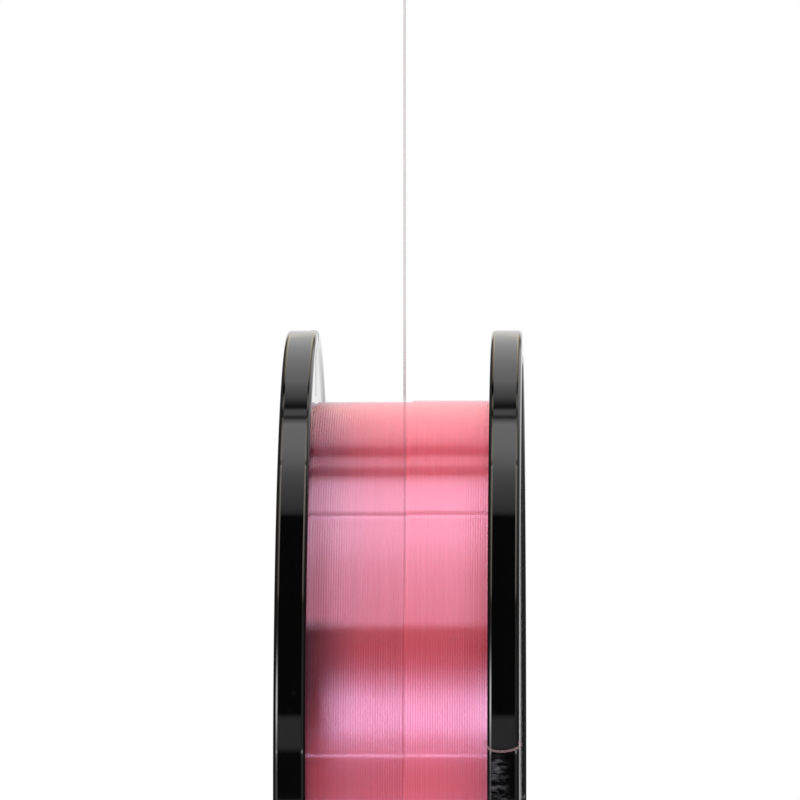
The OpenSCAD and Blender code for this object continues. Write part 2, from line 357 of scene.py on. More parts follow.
@dataclass(frozen=True)
class WoundLine:
    """Tinted monofilament as it looks wound on many layers of itself.

    The turns are finer than a picture shows, so the surface is shaded with a normal that leans to
    either side of the crest by a different angle at every spot, up to a largest lean. That spreads
    highlights along the axis and keeps them sharp round it, as the real turns do.

    Attributes:
        lower_layer_painted_shade: What the colour of the layer below is multiplied by, as painted shade
            where it shows left of the top layer.
        flange_edge_painted_shade: The same beside either flange, as painted shade in the corner that the
            flange makes.
        left_flange_painted_shadow: The same beside the left flange, low on the front, as a painted shadow
            of that flange.
        lean: Largest lean of the normal by chance, in degrees.
        strand_lean: Its lean at the sides of a strand, in degrees.
        glow_depth: How far light goes into the winding, in metres.
        top_edge: Where the layer on top stops, along the axis in metres.
    """

    colour: Colour = rgba(0.70, 0.094, 0.120)
    deep_colour: Colour = rgba(0.63, 0.082, 0.104)
    stripes: Pattern = Pattern(1.0, 2.0, (0.30, 0.70), (3300.0, 25.0, 25.0))
    sheen: float = 0.3
    sheen_roughness: float = 0.35
    sheen_tint: Colour = rgba(1.0, 0.33, 0.36)
    # Painted shade: the lower layer's colour is darkened where it is open left of the top layer.
    lower_layer_painted_shade: float = 0.85
    # Painted shade: the turns beside either flange are darkened in the corner that the flange makes.
    flange_edge_painted_shade: float = 0.80
    side_x: float = 0.0098
    edge_reach: float = 0.0010
    # Painted shadow: the left flange's shadow low on the front is darkened into the colour.
    left_flange_painted_shadow: float = 0.30
    left_reach: float = 0.0052
    left_top_z: Range = (0.0173, 0.0162)
    left_foot_z: Range = (0.0005, 0.0100)
    left_front_y: Range = (-0.030, -0.035)
    tint: Colour = rgba(0.96, 0.58, 1.0)
    roughness: float = 0.05
    index: float = 2.8
    lean: float = 10.5
    strand_lean: float = 7.5
    glow_depth: float = 0.00025
    glow_reach: Point = (1.0, 0.5, 0.5)
    top_edge: float = 0.0006
    top_edge_soft: float = 0.0001
    grain: float = 1.0e6

    def normal(self, tree: NodeTree, place: bpy.types.NodeSocket) -> bpy.types.NodeSocket:
        """Adds the leaning normal.

        Args:
            tree: The material's tree.
            place: Object coordinates, whose X is the spool's axis.

        Returns:
            The normal.
        """
        own = tree.add("ShaderNodeNewGeometry").outputs["Normal"]
        side = tree.split(own)[0]
        fine = tree.scaled(place, self.grain)
        chance = tree.add("ShaderNodeTexWhiteNoise", None, {"Vector": fine}).outputs["Value"]
        reach = math.tan(math.radians(self.lean))
        strand = math.tan(math.radians(self.strand_lean))
        lean = tree.math("ADD", tree.ramp(chance, 0.0, 1.0, -reach, reach),
                         tree.ramp(side, -1.0, 1.0, -strand, strand))
        outward = tree.vector_math("NORMALIZE", tree.vector_math("MULTIPLY", place, (0.0, 1.0, 1.0)))
        sideways = tree.add("ShaderNodeCombineXYZ", None, {"X": lean}).outputs[0]
        return tree.vector_math("NORMALIZE", tree.vector_math("ADD", outward, sideways))

    def painted_flange_shadow(self, tree: NodeTree, place: bpy.types.NodeSocket) -> bpy.types.NodeSocket:
        """Adds a painted shadow of the left flange, low on the front of the winding.

        Args:
            tree: The material's tree.
            place: Object coordinates.

        Returns:
            What the colour is multiplied by.
        """
        x, y, z = tree.split(place)
        beside = tree.ramp(x, -self.side_x, -self.side_x + self.left_reach, self.left_flange_painted_shadow, 1.0)
        heights = tree.math("MULTIPLY", tree.ramp(z, *self.left_top_z), tree.ramp(z, *self.left_foot_z))
        shown = tree.math("MULTIPLY", heights, tree.ramp(y, *self.left_front_y))
        return tree.ramp(shown, 0.0, 1.0, 1.0, beside)

    def shade(self, tree: NodeTree, place: bpy.types.NodeSocket) -> bpy.types.NodeSocket:
        """Adds the painted shade of the layer below, of the turns beside the flanges and of the left
        flange's shadow.

        Args:
            tree: The material's tree.
            place: Object coordinates.

        Returns:
            What the colour is multiplied by.
        """
        x = tree.split(place)[0]
        soft = self.top_edge_soft
        # Painted shade on the lower layer and beside both flanges; the left flange's painted shadow is
        # multiplied in below.
        layer = tree.ramp(x, self.top_edge - soft, self.top_edge + soft, self.lower_layer_painted_shade, 1.0)
        edge = tree.ramp(tree.math("ABSOLUTE", x), self.side_x - self.edge_reach, self.side_x,
                         1.0, self.flange_edge_painted_shade)
        return tree.math("MULTIPLY", tree.math("MULTIPLY", layer, edge), self.painted_flange_shadow(tree, place))

    def build(self) -> bpy.types.Material:
        """Builds the material.

        Returns:
            The material.
        """
        material, tree = new_material("wound_line")
        place = tree.add("ShaderNodeTexCoord").outputs["Object"]
        tone = tree.mix_colour(self.stripes.build(tree, place), self.deep_colour, self.colour)
        # The base colour carries the painted shade of the lower layer and beside the flanges, and the left
        # flange's painted shadow.
        shader = tree.add("ShaderNodeBsdfPrincipled", None, {
            "Base Color": tree.scaled(tone, self.shade(tree, place)),
            "Roughness": self.roughness, "IOR": self.index, "Specular Tint": self.tint,
            "Sheen Weight": self.sheen, "Sheen Roughness": self.sheen_roughness,
            "Sheen Tint": self.sheen_tint,
            "Subsurface Weight": 1.0, "Subsurface Radius": self.glow_reach,
            "Subsurface Scale": self.glow_depth,
            "Normal": self.normal(tree, place)})
        tree.add("ShaderNodeOutputMaterial", None, {"Surface": shader.outputs[0]})
        return material


@dataclass(frozen=True)
class SingleLine:
    """One strand of the same line, which is nearly clear and takes on what is round it.

    Attributes:
        stops: Height above the axis in metres and the strand's opacity there, in rising order.
        darkest: What the colour is multiplied by in the darkest patches.
    """

    colour: Colour = rgba(0.20, 0.060, 0.085)
    stops: tuple[tuple[float, float], ...] = (
        (0.0, 0.05), (0.014, 0.05), (0.022, 0.12), (0.0402, 0.16),
        (0.0408, 0.33), (0.0430, 0.32), (0.0495, 0.215), (0.1, 0.215))
    roughness: float = 0.25
    index: float = 1.53
    patches: Pattern = Pattern(300.0, 2.0, (0.3, 0.7))
    darkest: float = 0.8
    name: str = "single_line"

    def build(self) -> bpy.types.Material:
        """Builds the material.

        Returns:
            The material.
        """
        material, tree = new_material(self.name)
        place = tree.add("ShaderNodeTexCoord").outputs["Object"]
        darker = rgba(*(self.darkest * part for part in self.colour[:3]))
        opacity = [(height, (level, level, level)) for height, level in self.stops]
        shader = tree.add("ShaderNodeBsdfPrincipled", None, {
            "Base Color": tree.mix_colour(self.patches.build(tree, place), darker, self.colour),
            "Roughness": self.roughness, "IOR": self.index,
            "Alpha": tree.colour_ramp(tree.split(place)[2], opacity)})
        tree.add("ShaderNodeOutputMaterial", None, {"Surface": shader.outputs[0]})
        return material


# --- Meshes ------------------------------------------------------------------------------------


def link(mesh: bpy.types.Mesh, name: str) -> bpy.types.Object:
    """Puts a mesh in the scene as an object at the origin.

    Args:
        mesh: The mesh.
        name: The object's name.

    Returns:
        The object.
    """
    piece = bpy.data.objects.new(name, mesh)
    bpy.context.scene.collection.objects.link(piece)
    return piece


def dress(piece: bpy.types.Object, material: bpy.types.Material,
          replaced: Sequence[str] = ()) -> bpy.types.Object:
    """Gives a piece its finish and its body, and hides the CAD nodes that it stands for.

    Args:
        piece: The piece.
        material: Its finish.
        replaced: Names of CAD nodes that it replaces.

    Returns:
        The piece.
    """
    piece.data.materials.clear()
    piece.data.materials.append(material)
    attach(piece, BODY)
    if replaced:
        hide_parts(*replaced)
    LOG.info("%s: %d faces", piece.name, len(piece.data.polygons))
    return piece


def smooth_by_angle(mesh: bpy.types.Mesh, degrees: float = 28.0) -> None:
    """Shades a mesh smooth, apart from edges sharper than an angle."""
    mesh.shade_smooth()
    mesh.set_sharp_from_angle(angle=math.radians(degrees))


def turned(profile: Profile, name: str, steps: int) -> bpy.types.Mesh:
    """Turns a closed outline about X.

    Args:
        profile: Points as (radius, x), in millimetres.
        name: The mesh's name.
        steps: Faces in one turn.

    Returns:
        The mesh, closed, with its faces outwards.
    """
    rings = []
    for step in range(steps):
        angle = 2 * math.pi * step / steps
        rings.append([(x * MM, -r * MM * math.cos(angle), r * MM * math.sin(angle)) for r, x in profile])
    points = [p for ring in rings for p in ring]
    size = len(profile)
    faces = []
    for step in range(steps):
        here, after = step * size, (step + 1) % steps * size
        for i in range(size):
            j = (i + 1) % size
            faces.append((here + i, here + j, after + j, after + i))
    mesh = bpy.data.meshes.new(name)
    mesh.from_pydata(points, [], faces)
    outwards(mesh)
    return mesh


def outwards(mesh: bpy.types.Mesh) -> None:
    """Merges doubled points and turns every face outwards.

    Args:
        mesh: The mesh, which is changed in place.
    """
    work = bmesh.new()
    work.from_mesh(mesh)
    bmesh.ops.remove_doubles(work, verts=work.verts, dist=1e-7)
    bmesh.ops.recalc_face_normals(work, faces=work.faces)
    work.to_mesh(mesh)
    work.free()


def arc(centre: tuple[float, float], radius: float, start: float, end: float, steps: int = 10) -> Profile:
    """Returns points of an arc.

    Args:
        centre: Its centre as (radius, x).
        radius: Its radius.
        start: First angle in degrees, from the radial direction.
        end: Last angle.
        steps: Chords along it.

    Returns:
        The points, both ends among them.
    """
    angles = [math.radians(start + (end - start) * i / steps) for i in range(steps + 1)]
    return [(centre[0] + radius * math.cos(a), centre[1] + radius * math.sin(a)) for a in angles]


def swept(path: Sequence[Point], radius: float, sides: int, name: str) -> bpy.types.Mesh:
    """Sweeps a round section along a path.

    Args:
        path: Points in metres.
        radius: The section's radius in metres.
        sides: Sides of the section.
        name: The mesh's name.

    Returns:
        The mesh, with both ends closed.
    """
    points = [Vector(p) for p in path]
    last = len(points) - 1
    normal = Vector((1.0, 0.0, 0.0))
    if abs((points[1] - points[0]).normalized().x) > 0.9:
        normal = Vector((0.0, 1.0, 0.0))
    work = bmesh.new()
    rings = []
    for i, point in enumerate(points):
        along = (points[min(i + 1, last)] - points[max(i - 1, 0)]).normalized()
        normal = (normal - normal.dot(along) * along).normalized()
        side = along.cross(normal)
        angles = [2 * math.pi * k / sides for k in range(sides)]
        rings.append([work.verts.new(point + radius * (math.cos(a) * normal + math.sin(a) * side))
                      for a in angles])
    for here, after in zip(rings, rings[1:]):
        for k in range(sides):
            j = (k + 1) % sides
            work.faces.new((here[k], here[j], after[j], after[k]))
    work.faces.new(list(reversed(rings[0])))
    work.faces.new(rings[-1])
    bmesh.ops.recalc_face_normals(work, faces=work.faces)
    mesh = bpy.data.meshes.new(name)
    work.to_mesh(mesh)
    work.free()
    smooth_by_angle(mesh, 50.0)
    return mesh


def rounded_route(points: Sequence[Point], per_span: int) -> list[Point]:
    """Runs a smooth curve through a route's points.

    Args:
        points: The route.
        per_span: Steps between neighbouring points.

    Returns:
        Points along the curve, the route's own among them.
    """
    route = [Vector(p) for p in points]
    ends = [2 * route[0] - route[1], *route, 2 * route[-1] - route[-2]]
    smooth = []
    for a, b, c, d in zip(ends, ends[1:], ends[2:], ends[3:]):
        for step in range(per_span):
            t = step / per_span
            smooth.append(tuple(0.5 * (2 * b + (c - a) * t + (2 * a - 5 * b + 4 * c - d) * t ** 2
                                       + (3 * b - a - 3 * c + d) * t ** 3)))
    return [*smooth, tuple(route[-1])]


# --- The moulded halves ------------------------------------------------------------------------


@dataclass
class SpoolHalf:
    """What both moulded halves share. Sizes are in millimetres, x is measured from mid-width."""

    flange_r: float = 50.0
    face_x: float = 13.2
    rim_w: float = 3.5
    rim_round: float = 0.5
    rim_proud: float = 0.3
    recess_depth: float = 0.4
    land_w: float = 2.0
    land_round: float = 0.25
    floor_round: float = 0.12
    flat_step: float = 0.03
    blend_l: float = 1.8
    drum_r: float = 38.5
    drum_wall: float = 1.7
    web_t: float = 2.0
    bore_r: float = 5.0
    tube_wall: float = 2.0
    fit_gap: float = 0.15
    sleeve_wall: float = 1.6
    sleeve_l: float = 11.0
    tongue_reach: float = 3.0
    tongue_t: float = 0.9
    hook_w: float = 6.0
    hook_t: float = 1.6
    barb: float = 0.7
    hook_gap: float = 0.85
    blend_steps: int = 8
    land_steps: int = 6
    floor_steps: int = 4
    steps: int = 288

    @property
    def rim_in_x(self) -> float:
        """Inner side of the rim."""
        return self.face_x - self.rim_w

    @property
    def web_in_x(self) -> float:
        """Inner face of the flange beside the line."""
        return self.rim_in_x + self.rim_proud

    @property
    def floor_x(self) -> float:
        """Floor of the recess in the outer face."""
        return self.face_x - self.recess_depth

    @property
    def cavity_x(self) -> float:
        """Inner side of the end wall."""
        return self.floor_x - self.web_t

    @property
    def tube_r(self) -> float:
        """Outer radius of the spindle tube."""
        return self.bore_r + self.tube_wall

    @property
    def sleeve_r(self) -> float:
        """Outer radius of the sleeve and of both hub collars."""
        return self.tube_r + self.fit_gap + self.sleeve_wall

    @property
    def hook_in_r(self) -> float:
        """Inner radius of the snap hooks."""
        return self.sleeve_r + self.hook_gap

    @property
    def hook_out_r(self) -> float:
        """Outer radius of the snap hooks' shanks."""
        return self.hook_in_r + self.hook_t

    def flange_outline(self) -> Profile:
        """Draws the flange from the drum out round the rim and in to the floor of the recess.

        Returns:
            The outline. Points flat_step from a rounding keep its shading off the flat beside it.
        """
        blend_out = self.flange_r - 2 * self.rim_round
        blend = []
        for i in range(self.blend_steps + 1):
            part = i / self.blend_steps
            blend.append((blend_out - self.blend_l * (1 - part),
                          self.web_in_x - self.rim_proud * (1 - math.cos(math.pi * part)) / 2))
        corner_r = self.flange_r - self.rim_round
        land_in = corner_r - self.land_w
        floor_edge = land_in - self.land_round - self.floor_round
        inner_x = self.rim_in_x + self.rim_round
        outer_x = self.face_x - self.rim_round
        return [(self.drum_r, self.web_in_x), *blend,
                *arc((corner_r, inner_x), self.rim_round, -90, 0),
                (self.flange_r, inner_x + self.flat_step), (self.flange_r, outer_x - self.flat_step),
                *arc((corner_r, outer_x), self.rim_round, 0, 90),
                (corner_r - self.flat_step, self.face_x), (land_in + self.flat_step, self.face_x),
                *arc((land_in, self.face_x - self.land_round), self.land_round, 90, 180, self.land_steps),
                *arc((floor_edge, self.floor_x + self.floor_round), self.floor_round, 0, -90,
                     self.floor_steps),
                (floor_edge - self.flat_step, self.floor_x)]


@dataclass
class MouldedHalves(SpoolHalf):
    """Both halves of the spool as dressed pieces.

    Attributes:
        past: How far a cut runs past the surface that it opens.
        hair: Keeps the sides of two cuts out of one plane.
        rib_sink: How far a rib runs into the walls that carry it.
        tongue_lead: Chamfer that leads the tongue into the other half.
        window_gap: How much wider a window is than its hook.
        bend_room: Room inside a hook, which bends inwards as it goes in.
        back_room: Room between a hook's shank and the outside of its window.
        pocket_depth: Depth below the outer face's floor of the ledges that the barbs bear on.
        pocket_room: Room between a barb and the outside of its pocket.
        pocket_in_room: Room inside a hook in its pocket, a little more than in its window.
        slot_room: How far a tool slot starts outside the shank and ends outside the barb.
        hook_root: How far a hook's root goes into the end wall.
        hook_short: How far a hook's tip stays below the floor of the recess.
        barb_flat: Height of the barb's straight side.
    """

    slit_mouth: float = 1.2
    slit_bottom: float = 0.35
    slit_depth: float = 0.7
    slit_y: float = -3.5
    slit_foot: float = 42.5
    rib_t: float = 1.4
    rib_h: float = 5.8
    rib_sink: float = 0.3
    past: float = 1.0
    hair: float = 0.01
    tongue_lead: float = 0.4
    window_gap: float = 0.6
    bend_room: float = 0.6
    back_room: float = 0.2
    pocket_depth: float = 1.0
    pocket_room: float = 0.4
    pocket_in_room: float = 0.7
    slot_room: tuple[float, float] = (0.1, 0.3)
    hook_root: float = 0.7
    hook_short: float = 0.1
    barb_flat: float = 0.3

    def prism(self, outline: Sequence[tuple[float, float]], low: float, high: float,
              work: bmesh.types.BMesh, place: Matrix = Matrix()) -> None:
        """Adds an upright prism to a mesh being built.

        Args:
            outline: Its outline as (x, y), in millimetres.
            low: Height of its foot.
            high: Height of its top.
            work: The mesh being built.
            place: Turn applied to it.
        """
        foot, top = [[work.verts.new(place @ (Vector((x, y, z)) * MM)) for x, y in outline]
                     for z in (low, high)]
        work.faces.new(foot)
        work.faces.new(list(reversed(top)))
        for i in range(len(outline)):
            j = (i + 1) % len(outline)
            work.faces.new((foot[j], foot[i], top[i], top[j]))
        bmesh.ops.recalc_face_normals(work, faces=work.faces)

    @staticmethod
    def cut(mesh: bpy.types.Mesh, tool: bpy.types.Mesh) -> bpy.types.Mesh:
        """Cuts one mesh out of another.

        Args:
            mesh: The mesh that is cut.
            tool: The mesh that is taken away from it.

        Returns:
            What is left.
        """
        piece = link(mesh, mesh.name + "_work")
        cutter = link(tool, mesh.name + "_tool")
        modifier = piece.modifiers.new("cut", "BOOLEAN")
        modifier.operation = "DIFFERENCE"
        modifier.solver = "EXACT"
        modifier.object = cutter
        graph = bpy.context.evaluated_depsgraph_get()
        result = bpy.data.meshes.new_from_object(piece.evaluated_get(graph))
        bpy.data.objects.remove(piece)
        bpy.data.objects.remove(cutter)
        return result

    def boxes(self, corners: Iterable[tuple[Point, Point]], name: str) -> bpy.types.Mesh:
        """Makes boxes as one mesh.

        Args:
            corners: Lowest and highest corner of each box, in millimetres.
            name: The mesh's name.

        Returns:
            The mesh.
        """
        work = bmesh.new()
        for (x0, y0, z0), (x1, y1, z1) in corners:
            self.prism([(x0, y0), (x1, y0), (x1, y1), (x0, y1)], z0, z1, work)
        return self.finished(work, name)

    def ribs(self, from_r: float, side: Side, name: str) -> bpy.types.Mesh:
        """Makes the four ribs on an end wall.

        Args:
            from_r: Distance from the axis where they start.
            side: Which half's wall carries them.
            name: The mesh's name.

        Returns:
            The ribs as one mesh.
        """
        half = self.rib_t / 2
        x0, x1 = sorted((side.value * (self.cavity_x - self.rib_h),
                         side.value * (self.cavity_x + self.rib_sink)))
        outline = [(x0, -half), (x1, -half), (x1, half), (x0, half)]
        work = bmesh.new()
        for quarter in range(4):
            self.prism(outline, from_r - self.rib_sink, self.drum_r - self.drum_wall + self.rib_sink,
                       work, Matrix.Rotation(math.pi / 4 * (2 * quarter + 1), 4, "X"))
        return self.finished(work, name)

    @staticmethod
    def finished(work: bmesh.types.BMesh, name: str) -> bpy.types.Mesh:
        """Finishes a mesh being built.

        Args:
            work: The mesh being built.
            name: Name of the finished mesh.

        Returns:
            The finished mesh.
        """
        bmesh.ops.recalc_face_normals(work, faces=work.faces)
        mesh = bpy.data.meshes.new(name)
        work.to_mesh(mesh)
        work.free()
        return mesh

    @staticmethod
    def around(radii: tuple[float, float], width: float,
               xs: tuple[float, float]) -> list[tuple[Point, Point]]:
        """Places a box at the top, bottom, front and back of the hub.

        Args:
            radii: Inner and outer distance from the axis.
            width: Width across.
            xs: Range along the axis.

        Returns:
            Lowest and highest corner of each box.
        """
        half = width / 2
        inner, outer = radii
        boxes = []
        for sign in (-1, 1):
            low, high = sorted((sign * inner, sign * outer))
            boxes.append(((xs[0], -half, low), (xs[1], half, high)))
            boxes.append(((xs[0], low, -half), (xs[1], high, half)))
        return boxes

    def left(self) -> bpy.types.Mesh:
        """Makes the half with the sleeve, the windows and the groove for the line's end.

        Returns:
            The half's mesh.
        """
        socket_r = self.tube_r + self.fit_gap
        drum_in = self.drum_r - self.drum_wall
        sleeve_end = self.floor_x - self.sleeve_l
        outline = [*self.flange_outline(), (socket_r, self.floor_x), (socket_r, sleeve_end),
                   (self.sleeve_r, sleeve_end), (self.sleeve_r, self.cavity_x),
                   (drum_in, self.cavity_x), (drum_in, 0.0), (self.drum_r, 0.0)]
        mesh = turned([(r, -x) for r, x in outline], "left_half_shell", self.steps)
        width = self.hook_w + self.window_gap
        outside = -self.floor_x - self.past
        window = self.around((self.hook_in_r - self.bend_room, self.hook_out_r + self.back_room),
                             width, (outside, -self.cavity_x + self.past))
        pocket = self.around((self.hook_in_r - self.pocket_in_room,
                              self.hook_out_r + self.barb + self.pocket_room),
                             width + self.hair, (outside, -self.floor_x + self.pocket_depth))
        mesh = self.cut(mesh, self.boxes(window, "windows"))
        mesh = self.cut(mesh, self.boxes(pocket, "pockets"))
        return self.cut(mesh, self.slit())

    def slit(self) -> bpy.types.Mesh:
        """Makes the V that the groove for the line's end is cut with.

        Returns:
            The cutter's mesh.
        """
        mouth, bottom = self.slit_mouth / 2, self.slit_bottom / 2
        deep, near = -self.web_in_x - self.slit_depth, -self.rim_in_x + self.past
        outline = [(deep, -bottom), (-self.web_in_x, -mouth), (near, -mouth), (near, mouth),
                   (-self.web_in_x, mouth), (deep, bottom)]
        work = bmesh.new()
        self.prism([(x, y + self.slit_y) for x, y in outline], self.slit_foot,
                   self.flange_r + self.past, work)
        return self.finished(work, "slit")

    def right(self) -> bpy.types.Mesh:
        """Makes the half with the spindle tube, the tongue and the hooks' tool slots.

        Returns:
            The half's mesh.
        """
        drum_in = self.drum_r - self.drum_wall
        tongue_r = drum_in - self.fit_gap
        tongue_in = tongue_r - self.tongue_t
        reach = self.tongue_reach
        outline = [*self.flange_outline(), (self.bore_r, self.floor_x), (self.bore_r, -self.floor_x),
                   (self.tube_r, -self.floor_x), (self.tube_r, self.cavity_x), (drum_in, self.cavity_x),
                   (drum_in, reach), (tongue_in, reach), (tongue_in, -reach),
                   (tongue_r - self.tongue_lead, -reach), (tongue_r, self.tongue_lead - reach),
                   (tongue_r, 0.0), (self.drum_r, 0.0)]
        mesh = turned(outline, "right_half_shell", self.steps)
        inside, outside = self.slot_room
        slots = self.around((self.hook_out_r + inside, self.hook_out_r + self.barb + outside),
                            self.hook_w + self.window_gap,
                            (self.cavity_x - self.past, self.face_x + self.past))
        return self.cut(mesh, self.boxes(slots, "tool_slots"))

    def hooks(self) -> bpy.types.Mesh:
        """Makes the four snap hooks.

        Returns:
            The hooks as one mesh.
        """
        root = self.cavity_x + self.hook_root
        ledge = -(self.floor_x - self.pocket_depth)
        tip = -self.floor_x + self.hook_short
        barb_r = self.hook_out_r + self.barb
        outline = [(self.hook_in_r, root), (self.hook_in_r, tip), (self.hook_out_r, tip),
                   (barb_r, ledge - self.barb_flat), (barb_r, ledge),
                   (self.hook_out_r, ledge), (self.hook_out_r, root)]
        half = self.hook_w / 2
        # Stands the outline, drawn as (radius, x), on the spool's axis.
        stand = Matrix(((0, 1, 0, 0), (0, 0, 1, 0), (1, 0, 0, 0), (0, 0, 0, 1)))
        work = bmesh.new()
        for quarter in range(4):
            self.prism(outline, -half, half, work, Matrix.Rotation(math.pi / 2 * quarter, 4, "X") @ stand)
        return self.finished(work, "snap_hooks")

    def build(self, finish: bpy.types.Material) -> None:
        """Builds and dresses both halves.

        Args:
            finish: The black plastic.
        """
        for name, node, mesh in (("left_half_moulding", "left_half", self.left()),
                                 ("right_half_moulding", "right_half", self.right())):
            smooth_by_angle(mesh)
            dress(link(mesh, name), finish, [node])
        extras = (self.hooks(), self.ribs(self.sleeve_r, Side.LEFT, "left_ribs"),
                  self.ribs(self.tube_r, Side.RIGHT, "right_ribs"))
        for mesh in extras:
            dress(link(mesh, mesh.name), finish)


# --- The winding -------------------------------------------------------------------------------


@dataclass
class WoundLayer:
    """One layer of close turns, made by a geometry tree. Sizes are in millimetres.

    Attributes:
        name: Name of the piece.
        node: CAD node that it replaces.
        radius: Radius of the strand's centre line.
        start_angle: Where the layer starts round the axis, in degrees from the front.
        end_angle: Where it ends.
        seed: Shifts its unevenness away from the other layer's.
        line_h: Height of a strand, which its neighbours press narrower than that.
        unevenness: How far the radius wanders.
        drift: How far a turn wanders along the axis.
    """

    name: str
    node: str
    radius: float
    start_x: float
    end_x: float
    start_angle: float
    end_angle: float
    seed: float
    pitch: float = 0.266
    line_h: float = 0.30
    line_w: float = 0.272
    steps_per_turn: int = 132
    sides: int = 10
    unevenness: float = 0.014
    swells_per_turn: float = 2.3
    drift: float = 0.012
    strays_per_turn: float = 1.7
    stray_shift: float = 71.0
    wander_detail: float = 2.0
    sockets: dict[str, float] = field(default_factory=dict)

    def tree(self, finish: bpy.types.Material) -> bpy.types.GeometryNodeTree:
        """Builds the tree that winds the layer.

        Args:
            finish: Material of the line.

        Returns:
            The geometry tree, with its sizes as named inputs.
        """
        group = bpy.data.node_groups.new(self.name + "_winding", "GeometryNodeTree")
        group.interface.new_socket("Geometry", in_out="OUTPUT", socket_type="NodeSocketGeometry")
        counts = {"Steps": self.steps, "Steps per turn": self.steps_per_turn}
        sizes = {"Radius": self.radius * MM, "Start X": self.start_x * MM,
                 "Advance per turn": self.advance * MM, "Start angle": math.radians(self.start_angle),
                 "Unevenness": self.unevenness * MM, "Drift": self.drift * MM, "Seed": self.seed}
        for kind, inputs in (("NodeSocketInt", counts), ("NodeSocketFloat", sizes)):
            for label, value in inputs.items():
                socket = group.interface.new_socket(label, in_out="INPUT", socket_type=kind)
                self.sockets[socket.identifier] = value
        tree = NodeTree(group)
        given = tree.add("NodeGroupInput").outputs
        line = tree.add("GeometryNodeMeshLine", None, {"Count": given["Steps"]})
        index = tree.add("GeometryNodeInputIndex").outputs[0]
        turns = tree.math("DIVIDE", index, given["Steps per turn"])
        angle = tree.math("ADD", given["Start angle"], tree.math("MULTIPLY", turns, 2 * math.pi))
        along = tree.math("ADD", given["Seed"], turns)
        swell = self.wander(tree, along, self.swells_per_turn, given["Unevenness"])
        stray = self.wander(tree, tree.math("ADD", along, self.stray_shift), self.strays_per_turn,
                            given["Drift"])
        radius = tree.math("ADD", given["Radius"], swell)
        straight = tree.math("MULTIPLY", turns, given["Advance per turn"])
        x = tree.math("ADD", tree.math("ADD", given["Start X"], straight), stray)
        y = tree.math("MULTIPLY", tree.math("MULTIPLY", radius, tree.math("COSINE", angle)), -1.0)
        z = tree.math("MULTIPLY", radius, tree.math("SINE", angle))
        place = tree.add("ShaderNodeCombineXYZ", None, {"X": x, "Y": y, "Z": z}).outputs[0]
        wound = tree.add("GeometryNodeSetPosition", None,
                         {"Geometry": line.outputs[0], "Position": place}).outputs[0]
        curve = tree.add("GeometryNodeMeshToCurve", None, {"Mesh": wound}).outputs[0]
        section = tree.add("GeometryNodeCurvePrimitiveCircle", None,
                           {"Resolution": self.sides, "Radius": 0.5}).outputs[0]
        press = (self.line_h * MM, self.line_w * MM, 1.0)
        pressed = tree.add("GeometryNodeTransform", None, {"Geometry": section, "Scale": press}).outputs[0]
        tube = tree.add("GeometryNodeCurveToMesh", None,
                        {"Curve": curve, "Profile Curve": pressed, "Fill Caps": True}).outputs[0]
        smooth = tree.add("GeometryNodeSetShadeSmooth", None, {"Geometry": tube}).outputs[0]
        real = tree.add("GeometryNodeRealizeInstances", None, {"Geometry": smooth}).outputs[0]
        done = tree.add("GeometryNodeSetMaterial", None, {"Geometry": real, "Material": finish})
        tree.add("NodeGroupOutput", None, {"Geometry": done.outputs[0]})
        return group

    def wander(self, tree: NodeTree, along: bpy.types.NodeSocket, per_turn: float,
               most: bpy.types.NodeSocket) -> bpy.types.NodeSocket:
        """Adds a slow wander along the line.

        Args:
            tree: The geometry tree.
            along: How many turns along the line a point lies.
            per_turn: How often it wanders in one turn.
            most: How far it wanders from side to side.

        Returns:
            How far a point is off its place.
        """
        noise = tree.add("ShaderNodeTexNoise", {"noise_dimensions": "1D"},
                         {"W": along, "Scale": per_turn, "Detail": self.wander_detail}).outputs["Fac"]
        return tree.math("MULTIPLY", most, tree.math("SUBTRACT", noise, 0.5))

    @property
    def turns(self) -> float:
        """Number of turns, whole but for the difference of the end angles."""
        whole = round(abs(self.end_x - self.start_x) / self.pitch)
        return whole + (self.end_angle - self.start_angle) / 360.0

    @property
    def advance(self) -> float:
        """Travel along the axis in one turn."""
        return (self.end_x - self.start_x) / self.turns

    @property
    def steps(self) -> int:
        """Points along the whole layer."""
        return round(self.turns * self.steps_per_turn) + 1

    def build(self, finish: bpy.types.Material) -> bpy.types.Object:
        """Winds the layer and dresses it.

        Args:
            finish: Material of the line.

        Returns:
            The finished piece.
        """
        host = link(bpy.data.meshes.new(self.name + "_host"), self.name + "_host")
        modifier = host.modifiers.new("winding", "NODES")
        modifier.node_group = self.tree(finish)
        for identifier, value in self.sockets.items():
            modifier[identifier] = value
        graph = bpy.context.evaluated_depsgraph_get()
        mesh = bpy.data.meshes.new_from_object(host.evaluated_get(graph))
        bpy.data.objects.remove(host)
        return dress(link(mesh, self.name), finish, [self.node])


